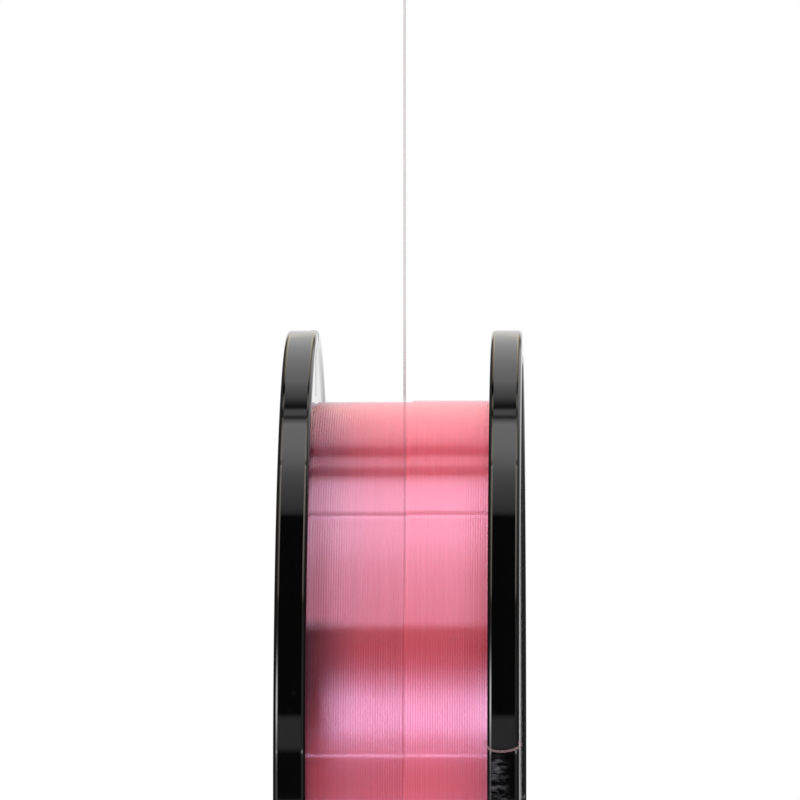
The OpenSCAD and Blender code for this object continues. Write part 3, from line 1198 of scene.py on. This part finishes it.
@dataclass
class Winding:
    """All the line on the drum. Sizes are in millimetres.

    Attributes:
        side_x: Where the winding ends beside either flange.
        lower_r: Radius of the last full layer's centre line.
        top_r: Radius of the centre line of the layer begun on top of it.
        top_edge_x: Where that layer stops.
        tuck: How far the last full layer stays short of the top layer's end.
        drum_gap: Gap between the drum and the buried ring.
        sunk: How far the buried ring stays below the centre lines.
        joint_angle: Where the last full layer starts and ends round the axis, out of sight.
    """

    drum_r: float = 38.5
    side_x: float = 9.97
    lower_r: float = 41.84
    top_r: float = 41.99
    line_d: float = 0.3
    top_edge_x: float = 0.75
    tuck: float = 0.2
    drum_gap: float = 0.05
    sunk: float = 0.04
    joint_angle: float = 200.0
    steps: int = 288

    def buried(self) -> bpy.types.Mesh:
        """Makes the buried layers as one ring that fills the space under the open ones.

        Returns:
            The ring's mesh.
        """
        foot = self.drum_r + self.drum_gap
        low = self.lower_r - self.sunk
        high = self.top_r - self.sunk
        step = self.top_edge_x - self.line_d / 2
        outline = [(foot, -self.side_x), (low, -self.side_x), (low, step), (high, step),
                   (high, self.side_x), (foot, self.side_x)]
        mesh = turned(outline, "buried_layers", self.steps)
        smooth_by_angle(mesh)
        return mesh

    def build(self, finish: bpy.types.Material) -> None:
        """Builds and dresses the buried ring and both open layers.

        Args:
            finish: Material of the wound line.
        """
        dress(link(self.buried(), "buried_layers"), finish, ["line_core"])
        first_x = self.side_x - self.line_d / 2
        lower = WoundLayer("lower_layer", "line_lower_layer", self.lower_r, start_x=-first_x,
                           end_x=self.top_edge_x - self.tuck, start_angle=self.joint_angle,
                           end_angle=self.joint_angle, seed=3.0)
        lower.build(finish)
        top = WoundLayer("top_layer", "line_top_layer", self.top_r, start_x=first_x,
                         end_x=self.top_edge_x, start_angle=0.0, end_angle=0.0, seed=41.0)
        top.build(finish)


# --- The loose ends ----------------------------------------------------------------------------


@dataclass
class DrawnOffLine:
    """The stretch that runs up from the front of the spool to its loop. Sizes are in millimetres.

    Attributes:
        exit: Where the line leaves the winding.
        heights: Heights of the route above the exit, up to the knot.
        wraps: Wraps of the knot.
        core_r: Radius of the wraps' centre line.
        loop_leg: Half the distance between the loop's legs.
        loop_widest: Largest value of the loop's swing before it is scaled to its width.
        leg_start: How far above the knot's foot the loop's legs start.
    """

    diameter: float = 0.3
    exit: Point = (0.75, -42.05, 0.0)
    heights: tuple[float, ...] = (0, 2, 4, 7, 10, 14, 18, 22, 26, 30, 34, 38, 42, 46, 50, 54, 58, 62,
                                  66, 70, 74, 78, 81, 84, 86)
    wraps: int = 5
    core_r: float = 0.3
    loop_l: float = 11.0
    loop_w: float = 5.0
    loop_leg: float = 0.26
    loop_widest: float = 0.77
    loop_steps: int = 72
    leg_start: float = 0.1
    steps_per_wrap: int = 20
    sides: int = 12
    knot_sides: int = 10

    def route(self) -> list[Point]:
        """Returns the route's points in metres."""
        x, y, _ = self.exit
        return [(x * MM, y * MM, z * MM) for z in self.heights]

    def knot(self) -> bpy.types.Mesh:
        """Makes the knot's wraps as one helix round its legs.

        Returns:
            The knot's mesh.
        """
        x, y, _ = self.exit
        half = self.diameter / 2
        foot = self.heights[-1] + half
        path = []
        for i in range(self.steps_per_wrap * (self.wraps - 1) + 1):
            turns = i / self.steps_per_wrap
            angle = 2 * math.pi * turns
            path.append(((x + self.core_r * math.cos(angle)) * MM,
                         (y + self.core_r * math.sin(angle)) * MM,
                         (foot + self.diameter * turns) * MM))
        return swept(path, half * MM, self.knot_sides, "knot_wraps")

    def loop(self) -> bpy.types.Mesh:
        """Makes the loop from one leg up and round to the other.

        Returns:
            The loop's mesh.
        """
        x, y, _ = self.exit
        foot = self.heights[-1] + self.wraps * self.diameter
        path = []
        for i in range(self.loop_steps + 1):
            u = math.pi * i / self.loop_steps
            swing = self.loop_w / 2 / self.loop_widest * math.sin(2 * u) * math.sin(u)
            path.append(((x - self.loop_leg * math.cos(u) - swing) * MM, y * MM,
                         (foot + self.loop_l * math.sin(u)) * MM))
        leg_z = (self.heights[-1] + self.leg_start) * MM
        first, last = [(x, y, leg_z) for x, y, _ in (path[0], path[-1])]
        return swept([first, *path, last], self.diameter / 2 * MM, self.knot_sides, "end_loop")

    def build(self, finish: bpy.types.Material) -> None:
        """Args:
            finish: Material of the single strand.
        """
        route = self.route()
        strand = swept(route, self.diameter / 2 * MM, self.sides, "drawn_off_line")
        line = dress(link(strand, "drawn_off_line"), finish, ["free_line"])
        knot = dress(link(self.knot(), "loop_knot"), finish, ["knot"])
        loop = dress(link(self.loop(), "loop"), finish, ["end_loop"])


@dataclass
class StartingEnd:
    """The line's first few centimetres, which come up beside the right flange and cross its rim.

    Attributes:
        spool: The half beside it, for its sizes.
        clear: Distance of the strand's centre line from the plastic.
        foot: How far from the drum it starts.
        beside: How far in from the flange's face it runs, its distance from the axis and its height.
        corner_from_z: Its height where it starts over the rim's rounding.
        corner_drop: How far it drops on the way over that rounding.
        along_rim: Places across the rim that it passes.
        lowest: Where across the rim it is lowest, and its height there.
        sag: How fast it rises again to either side.
        curl: How far it then is across the rim and above it, and its height, to its tip.
    """

    diameter: float = 0.28
    spool: SpoolHalf = field(default_factory=SpoolHalf)
    clear: float = 0.17
    foot: float = 0.3
    beside: tuple[Point, ...] = (
        (0.0, 40.5, 3.6), (0.0, 42.0, 3.6), (0.0, 43.5, 3.6), (0.0, 45.0, 3.7), (0.02, 46.2, 3.7),
        (0.08, 47.0, 3.7), (0.2, 47.7, 3.7), (0.3, 48.5, 3.6))
    corner_from_z: float = 3.4
    corner_drop: float = 0.7
    corner_steps: int = 4
    along_rim: tuple[float, ...] = (10.8, 11.4, 12.0, 12.6)
    lowest: tuple[float, float] = (11.2, 2.55)
    sag: float = 0.12
    curl: tuple[Point, ...] = (
        (13.0, 0.02, 2.95), (13.25, 0.05, 3.15), (13.265, 0.08, 3.4), (13.15, 0.1, 3.62))
    smooth_steps: int = 4
    sides: int = 10

    def route(self) -> list[Point]:
        """Works out the route, from the drum up over the rim to the tip.

        Returns:
            Its points in metres.
        """
        spool = self.spool
        side = spool.web_in_x - self.clear
        corner_r = spool.flange_r - spool.rim_round
        corner_x = spool.rim_in_x + spool.rim_round
        bend = spool.rim_round + self.clear
        top = spool.flange_r + self.clear
        points = [(side, spool.drum_r + self.foot, self.beside[0][2])]
        points += [(side - inwards, r, z) for inwards, r, z in self.beside]
        for step in range(self.corner_steps + 1):
            part = step / self.corner_steps
            angle = math.pi / 2 * part
            points.append((corner_x - bend * math.cos(angle), corner_r + bend * math.sin(angle),
                           self.corner_from_z - self.corner_drop * part))
        lowest_x, lowest_z = self.lowest
        points += [(x, top, lowest_z + self.sag * (x - lowest_x) ** 2) for x in self.along_rim]
        points += [(x, top + above, z) for x, above, z in self.curl]
        return [(x * MM, -math.sqrt(r * r - z * z) * MM, z * MM) for x, r, z in points]

    def build(self, finish: bpy.types.Material) -> None:
        """Builds and dresses the starting end.

        Args:
            finish: Its material.
        """
        path = rounded_route(self.route(), self.smooth_steps)
        strand = swept(path, self.diameter / 2 * MM, self.sides, "starting_end_strand")
        dress(link(strand, "starting_end_strand"), finish, ["starting_end"])


# --- Studio ------------------------------------------------------------------------------------


WHITE = rgba(1.0, 1.0, 1.0)
LOW_TINT = (1.0, 1.0, 1.0)
MIDDLE_TINT = (1.32, 1.20, 1.02)
HIGH_TINT = (1.45, 1.22, 0.94)


@dataclass(frozen=True)
class Glow:
    """What shiny surfaces see round about, as one strip of the studio from the floor to the back.

    Attributes:
        stops: Height of the mirroring surface round the spool in degrees, from 0 in front to 90 on
            top, and the radiance that it shows there.
        tinted: Whether the strip's light takes the tints of the low, middle and high panels.
        middle_from: Height from which the middle tint holds.
        high_from: Height from which the high tint holds.
    """

    stops: tuple[tuple[float, float], ...]
    tinted: bool = False
    middle_from: float = 22.0
    high_from: float = 59.3

    @property
    def most(self) -> float:
        """Largest radiance of the strip."""
        return max(level for _, level in self.stops) * max(*MIDDLE_TINT, *HIGH_TINT)

    def colours(self) -> list[tuple[float, Point]]:
        """Gives each stop its tint.

        Returns:
            The stops with their colours, scaled to at most 1.
        """
        coloured = []
        for degrees, level in self.stops:
            tint = LOW_TINT
            if self.tinted and degrees >= self.middle_from:
                tint = HIGH_TINT if degrees >= self.high_from else MIDDLE_TINT
            coloured.append((degrees, tuple(level / self.most * c for c in tint)))
        return coloured


OVERHEAD = Glow((
    (-90.0, 2.0), (-3.8, 2.0), (-3.4, 0.02), (3.2, 0.02), (3.4, 0.40), (7.4, 0.40), (7.6, 0.01),
    (34.8, 0.01), (35.05, 0.36), (36.3, 0.56), (38.8, 0.78), (41.5, 1.1), (43.0, 1.5), (46.0, 1.9),
    (51.1, 1.85), (51.6, 0.1), (52.2, 0.1), (52.6, 0.75), (53.6, 0.75), (54.0, 0.04), (54.6, 0.04),
    (55.3, 0.18), (56.4, 0.48), (59.1, 0.79), (60.5, 1.0), (90.0, 1.0)))
LEFT_SIDE = Glow((
    (0.0, 0.9), (2.0, 1.4), (2.7, 1.9), (2.85, 4.0), (3.05, 4.0), (3.2, 2.2), (5.0, 3.3), (7.0, 5.6),
    (8.5, 6.6), (11.5, 5.6), (14.0, 2.8), (16.5, 0.8), (19.0, 0.3), (22.1, 0.3)),
    tinted=True)
RIGHT_SIDE = Glow((
    (0.0, 0.3), (2.7, 0.3), (2.85, 3.0), (3.05, 3.0), (3.2, 0.3), (22.1, 0.2)),
    tinted=True)
BOTH_SIDES = Glow((
    (22.1, 0.25), (23.6, 1.25), (25.3, 1.32), (30.6, 1.55), (34.0, 1.8), (39.8, 2.1), (42.3, 1.95),
    (42.5, 2.6), (42.8, 2.5), (42.95, 0.8), (43.75, 0.8), (43.9, 2.0), (48.4, 1.6), (49.8, 1.4),
    (51.1, 0.9), (51.85, 0.75), (52.3, 0.2), (53.4, 0.1), (54.9, 1.0), (56.6, 0.7), (57.8, 0.0),
    (59.6, 0.0), (61.2, 0.45), (63.3, 0.7), (67.5, 0.85), (73.4, 0.95), (90.0, 0.75)),
    tinted=True)


@dataclass(frozen=True)
class Lamp:
    """A square soft lamp that points at the spool and that reflections don't see.

    Attributes:
        name: The lamp's name.
        place: Where it hangs, in metres.
        size: Length of its sides, in metres.
        power: Its power in watts.
    """

    name: str
    place: Point
    size: float
    power: float

    def build(self) -> None:
        """Hangs the lamp."""
        data = bpy.data.lights.new(self.name, "AREA")
        data.shape = "SQUARE"
        data.size = self.size
        data.energy = self.power
        lamp = bpy.data.objects.new(self.name, data)
        bpy.context.scene.collection.objects.link(lamp)
        lamp.location = self.place
        lamp.rotation_euler = (-Vector(self.place)).to_track_quat("-Z", "Y").to_euler()
        lamp.visible_camera = False
        lamp.visible_glossy = False


@dataclass
class Studio:
    """Camera, floor, lamps and surroundings. Lengths are in metres.

    Attributes:
        fade_from: Distance at which the floor starts to fade to white.
        fade_to: Distance at which it is white.
        ambient: Strength of the white surroundings as a light.
        least_cosine: Keeps the sums for the top of the ring from a division by nothing.
        soft: Half the width of the borders between strips, in degrees of lean.
        side_from: Lean at which the overhead strip gives way to the side strips.
        side_to: Lean at which those give way to the dim rest.
        split_height: Height at which the left and right strips become one, in degrees.
        split_soft: How many degrees that takes.
        slope_heights: Heights between which the side strips' slope goes from low to high.
        low_slope: How much brighter the side strips are far out than half way, low down.
        high_slope: The same high up.
        slope_to: Lean at which that slope ends.
        dim: Radiance beyond the side strips.
        behind_y: Share of a direction that points away from the camera, on the white card behind.
        behind_x: Share of it that points aside, on that card.
        right_y: Share of a direction that points away from the camera, on the white card at the right.
        right_x: Share of it that points to the right, on that card.
    """

    camera_place: Point = (0.0214, -1.045, 0.0)
    camera_aim: Point = (-0.00064, 0.0, 0.0422)
    lens: float = 418.5
    floor_z: float = -0.0502
    floor_size: float = 12.0
    floor_colour: Colour = rgba(0.80, 0.80, 0.80)
    floor_roughness: float = 0.7
    fade_from: float = 0.25
    fade_to: float = 0.9
    ambient: float = 0.50
    dome_r: float = 3.0
    least_cosine: float = 0.01
    soft: float = 1.5
    side_from: float = 5.5
    side_to: float = 46.0
    split_height: float = 22.1
    split_soft: float = 0.02
    slope_heights: tuple[float, float] = (19.0, 23.0)
    low_slope: float = 0.6
    high_slope: float = -0.5
    slope_to: float = 34.0
    dim: float = 0.12
    behind_y: Range = (0.93, 0.96)
    behind_x: Range = (0.30, 0.24)
    right_y: Range = (0.25, 0.45)
    right_x: Range = (0.20, 0.30)
    lamps: tuple[Lamp, ...] = (
        Lamp("top_lamp", (-0.75, 0.3, 1.3), 1.0, 33.0),
        Lamp("card_lamp", (0.02, -0.15, -0.04), 0.08, 0.05),
        Lamp("left_lamp", (-0.72, -1.25, 0.55), 0.9, 5.0),
        Lamp("back_lamp", (0.1, 1.02, 0.80), 0.8, 27.0))

    def camera(self) -> None:
        """Places the camera and makes it the scene's."""
        data = bpy.data.cameras.new("camera")
        data.lens = self.lens
        data.sensor_width = 36.0
        data.clip_start = 0.01
        data.clip_end = 50.0
        camera = bpy.data.objects.new("camera", data)
        bpy.context.scene.collection.objects.link(camera)
        place, aim = Vector(self.camera_place), Vector(self.camera_aim)
        camera.location = place
        camera.rotation_euler = (aim - place).to_track_quat("-Z", "Y").to_euler()
        bpy.context.scene.camera = camera

    def floor(self) -> None:
        """Lays the plain pale floor, which fades to white far out. Reflections see the dome instead."""
        half = self.floor_size / 2
        mesh = bpy.data.meshes.new("floor")
        mesh.from_pydata([(-half, -half, self.floor_z), (half, -half, self.floor_z),
                          (half, half, self.floor_z), (-half, half, self.floor_z)], [], [(0, 1, 2, 3)])
        floor = link(mesh, "floor")
        material, tree = new_material("floor")
        shader = tree.add("ShaderNodeBsdfPrincipled", None,
                          {"Base Color": self.floor_colour, "Roughness": self.floor_roughness})
        place = tree.add("ShaderNodeTexCoord").outputs["Object"]
        away = tree.add("ShaderNodeVectorMath", {"operation": "LENGTH"}, {0: place}).outputs["Value"]
        seen = tree.add("ShaderNodeLightPath").outputs["Is Camera Ray"]
        faded = tree.math("MULTIPLY", seen, tree.ramp(away, self.fade_from, self.fade_to))
        white = tree.add("ShaderNodeEmission", None, {"Color": WHITE, "Strength": 1.0})
        surface = tree.add("ShaderNodeMixShader", None,
                           {0: faded, 1: shader.outputs[0], 2: white.outputs[0]})
        tree.add("ShaderNodeOutputMaterial", None, {"Surface": surface.outputs[0]})
        mesh.materials.append(material)
        floor.visible_glossy = False

    def world(self) -> None:
        """Surrounds the scene with white for what looks at it, and a softer level for its light."""
        world = bpy.data.worlds.new("studio")
        world.use_nodes = True
        bpy.context.scene.world = world
        tree = NodeTree(world.node_tree)
        rays = tree.add("ShaderNodeLightPath").outputs
        seen = tree.math("MAXIMUM", rays["Is Camera Ray"],
                         tree.math("MAXIMUM", rays["Is Glossy Ray"], rays["Is Transmission Ray"]))
        strength = tree.ramp(seen, 0.0, 1.0, self.ambient, 1.0)
        background = tree.add("ShaderNodeBackground", None, {"Color": WHITE, "Strength": strength})
        tree.add("ShaderNodeOutputWorld", None, {"Surface": background.outputs[0]})

    def glow(self, tree: NodeTree, height: bpy.types.NodeSocket, glow: Glow) -> bpy.types.NodeSocket:
        """Adds the radiance of one strip of the studio.

        Args:
            tree: The dome's shader tree.
            height: Height of the mirroring surface in degrees.
            glow: The strip.

        Returns:
            Its radiance as a colour.
        """
        return tree.scaled(tree.colour_ramp(height, glow.colours()), glow.most)

    def mirrored(self, tree: NodeTree,
                 unit: bpy.types.NodeSocket) -> tuple[bpy.types.NodeSocket, bpy.types.NodeSocket]:
        """Works out which spot on a ring round the spool's axis mirrors a direction to the camera.

        Args:
            tree: The dome's shader tree.
            unit: The direction, of length 1.

        Returns:
            The spot's height round the ring, in degrees from 0 in front to 90 on top, and how far
            the surface there has to lean to the right, in degrees.
        """
        x, y, z = tree.split(unit)
        height = tree.math("ARCTAN2", z, tree.math("SUBTRACT", 1.0, y))
        cosine = tree.math("MAXIMUM", tree.math("COSINE", height), self.least_cosine)
        camera_aside = self.camera_place[0] / -self.camera_place[1]
        across = tree.math("DIVIDE", tree.math("ADD", x, camera_aside), cosine)
        risen = tree.math("MULTIPLY", z, tree.math("SINE", height))
        inward = tree.math("DIVIDE", tree.math("SUBTRACT", risen, tree.math("MULTIPLY", y, cosine)), cosine)
        lean = tree.math("ARCTAN2", across, inward)
        return tree.math("MULTIPLY", height, DEGREES), tree.math("MULTIPLY", lean, DEGREES)

    def side_strips(self, tree: NodeTree, height: bpy.types.NodeSocket, lean: bpy.types.NodeSocket,
                    aside: bpy.types.NodeSocket) -> bpy.types.NodeSocket:
        """Adds the strips at both sides, which differ low down.

        Args:
            tree: The dome's shader tree.
            height: Height of the mirroring surface in degrees.
            lean: Its lean to the right in degrees.
            aside: Its lean to either side.

        Returns:
            Their radiance as a colour.
        """
        low = tree.mix_colour(tree.ramp(lean, -self.soft, self.soft),
                              self.glow(tree, height, LEFT_SIDE), self.glow(tree, height, RIGHT_SIDE))
        upper = self.glow(tree, height, BOTH_SIDES)
        above = tree.ramp(height, self.split_height, self.split_height + self.split_soft)
        plain = tree.mix_colour(above, low, upper)
        slope = tree.ramp(height, *self.slope_heights, self.low_slope, self.high_slope)
        outwards_share = tree.ramp(aside, 0.0, self.slope_to, -1.0, 1.0)
        return tree.scaled(plain, tree.math("MULTIPLY_ADD", slope, outwards_share, 1.0))

    def cards(self, tree: NodeTree, unit: bpy.types.NodeSocket) -> bpy.types.NodeSocket:
        """Adds the white cards behind the spool and at its right.

        Args:
            tree: The dome's shader tree.
            unit: The direction, of length 1.

        Returns:
            How much of the direction they fill, from 0 to 1.
        """
        x, y, _ = tree.split(unit)
        behind = tree.math("MULTIPLY", tree.ramp(y, *self.behind_y),
                           tree.ramp(tree.math("ABSOLUTE", x), *self.behind_x))
        right = tree.math("MULTIPLY", tree.ramp(y, *self.right_y), tree.ramp(x, *self.right_x))
        return tree.math("MAXIMUM", behind, right)

    def dome(self) -> None:
        """Hangs a dome that only reflections see, with the panels and dark gaps round the spool."""
        mesh = bpy.data.meshes.new("dome")
        work = bmesh.new()
        bmesh.ops.create_uvsphere(work, u_segments=64, v_segments=32, radius=self.dome_r)
        bmesh.ops.reverse_faces(work, faces=work.faces)
        work.to_mesh(mesh)
        work.free()
        dome = link(mesh, "dome")
        material, tree = new_material("dome")
        unit = tree.vector_math("NORMALIZE", tree.add("ShaderNodeTexCoord").outputs["Object"])
        height, lean = self.mirrored(tree, unit)
        aside = tree.math("ABSOLUTE", lean)
        near = tree.mix_colour(tree.ramp(aside, self.side_from - self.soft, self.side_from + self.soft),
                               self.glow(tree, height, OVERHEAD),
                               self.side_strips(tree, height, lean, aside))
        rest = tree.ramp(aside, self.side_to - 2 * self.soft, self.side_to + 2 * self.soft)
        seen = tree.mix_colour(rest, near, rgba(self.dim, self.dim, self.dim))
        radiance = tree.mix_colour(self.cards(tree, unit), seen, WHITE)
        shader = tree.add("ShaderNodeEmission", None, {"Color": radiance, "Strength": 1.0})
        tree.add("ShaderNodeOutputMaterial", None, {"Surface": shader.outputs[0]})
        mesh.materials.append(material)
        dome.visible_camera = False
        dome.visible_diffuse = False
        dome.visible_shadow = False
        dome.visible_transmission = False

    def build(self) -> None:
        """Builds the floor, the surroundings and the lamps."""
        self.floor()
        self.world()
        self.dome()
        for lamp in self.lamps:
            lamp.build()


def main() -> None:
    """Builds the studio and every piece, in order."""
    logging.basicConfig(level=logging.INFO, format="%(name)s %(message)s")
    scene = bpy.context.scene
    scene.view_settings.view_transform = "Standard"
    studio = Studio()
    studio.camera()
    DrawnOffLine().build(SingleLine().build())
    # Painted highlight: a lighter, pinker copy of the single line stands for the light that the clear
    # strand catches where it lies over the black rim.
    lit_copy_over_black = SingleLine(rgba(0.42, 0.25, 0.26), ((0.0, 0.20), (0.1, 0.20)), name="line_end")
    StartingEnd().build(lit_copy_over_black.build())
    MouldedHalves().build(BlackPlastic().build())
    Winding().build(WoundLine().build())
    studio.build()


if __name__ == "__main__":
    main()
